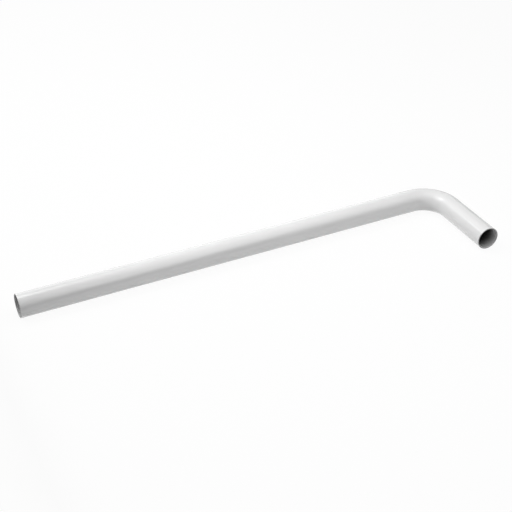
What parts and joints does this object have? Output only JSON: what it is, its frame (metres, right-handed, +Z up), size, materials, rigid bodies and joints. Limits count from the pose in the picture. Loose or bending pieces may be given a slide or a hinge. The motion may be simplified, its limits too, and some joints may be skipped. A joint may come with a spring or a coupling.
{
  "type": "drain pipe",
  "caption": "Round tube with a right-angle bend between a long and a short leg, open and cut square at each end, that leads waste water from a basin trap to the wall.",
  "frame": {"origin": "under the middle of the pipe's bounding box, on the surface that it lies on", "axes": "+X runs along the long leg towards the bend, the short leg leaves the bend towards -Y, and +Z is up, square to the plane of the two legs"},
  "size_m": [0.64, 0.15, 0.032],
  "materials": {
    "white_coated_tube": "gloss white coating outside, bare metal bore"
  },
  "bodies": {
    "root": {"drain_pipe": "white_coated_tube"}
  },
  "joints": []
}
